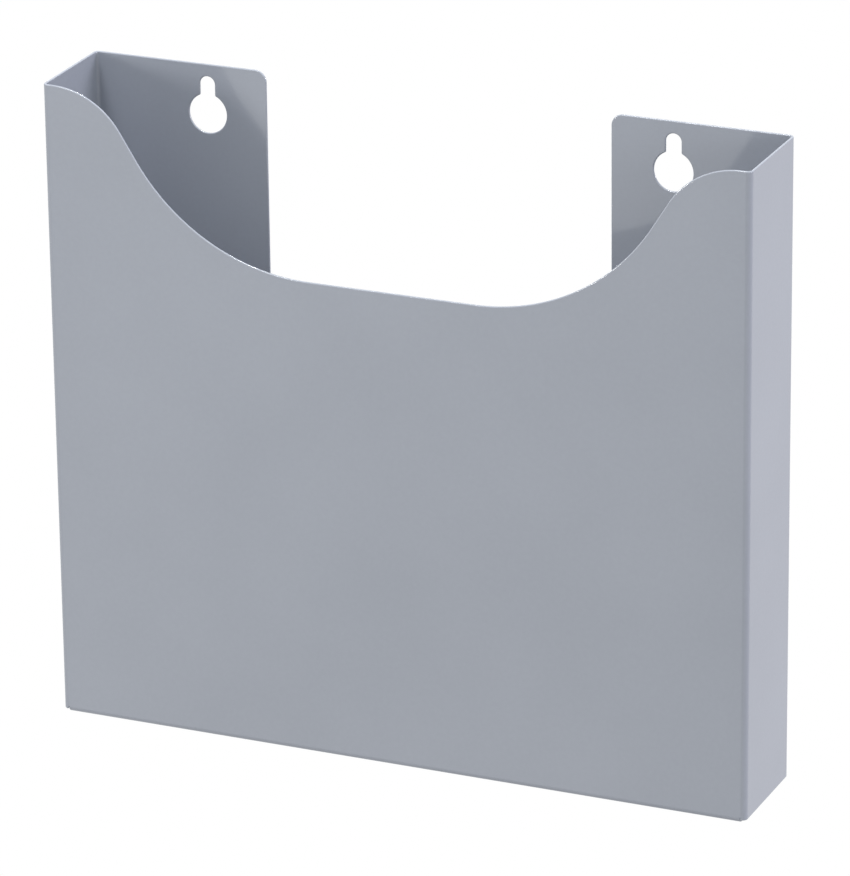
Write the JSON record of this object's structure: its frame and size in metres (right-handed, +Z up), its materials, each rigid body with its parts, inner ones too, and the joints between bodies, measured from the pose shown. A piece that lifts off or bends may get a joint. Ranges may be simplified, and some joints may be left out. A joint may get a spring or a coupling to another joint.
{
  "type": "document holder",
  "caption": "Wall-hung sheet-steel pocket for documents, with a wide curved hand cut-out in front and keyhole flanges behind.",
  "frame": {"origin": "under the middle of the holder, on the plane of its underside", "axes": "+X along the width to the viewer's right, front faces -Y and the wall side +Y, +Z up"},
  "size_m": [0.31, 0.05, 0.28],
  "materials": {
    "powder_coat": "satin"
  },
  "bodies": {
    "root": {"front_panel": "powder_coat", "left_side_panel": "powder_coat", "right_side_panel": "powder_coat", "left_wall_flange": "powder_coat", "right_wall_flange": "powder_coat", "bottom_panel": "powder_coat", "rear_lip": "powder_coat"}
  },
  "joints": []
}
